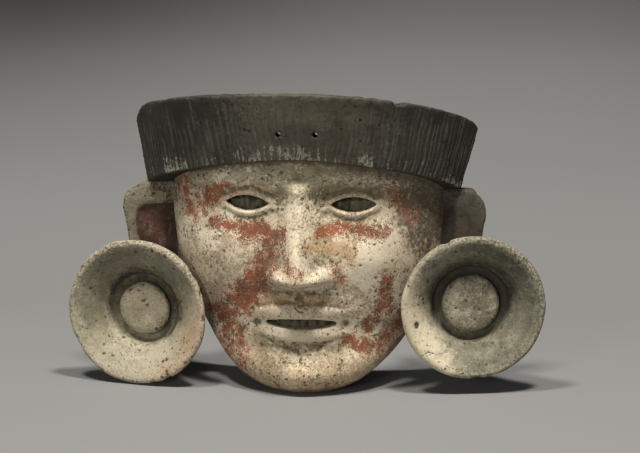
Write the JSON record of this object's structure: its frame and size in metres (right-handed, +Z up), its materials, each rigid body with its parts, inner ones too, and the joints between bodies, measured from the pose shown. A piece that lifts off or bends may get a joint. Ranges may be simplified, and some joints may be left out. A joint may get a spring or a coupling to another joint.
{
  "type": "mask",
  "caption": "Hollow pressed-clay face mask with a combed headband, two ears and two round dished ear flares.",
  "frame": {"origin": "middle of the small flat under the chin, on which the mask stands", "axes": "-Y is the way the face looks, +X is to the viewer's right, +Z is up, and the flat back rim faces +Y"},
  "size_m": [0.2662, 0.077, 0.17],
  "materials": {
    "slip": "matte, worn white slip over buff clay with red paint",
    "dark_clay": "matte, smoked dark clay",
    "ear_clay": "matte, red paint in the hollow",
    "pale_clay": "matte, pitted",
    "grey_clay": "matte, pitted",
    "olive_clay": "matte, wiped clay"
  },
  "bodies": {
    "root": {"face_shell": "slip", "headband": "dark_clay", "left_eye_backing": "olive_clay", "right_eye_backing": "olive_clay", "mouth_backing": "olive_clay", "left_ear": "ear_clay", "left_flare": "pale_clay", "left_boss": "pale_clay", "left_peg": "pale_clay", "right_ear": "ear_clay", "right_flare": "grey_clay", "right_boss": "grey_clay", "right_peg": "grey_clay"}
  },
  "joints": []
}
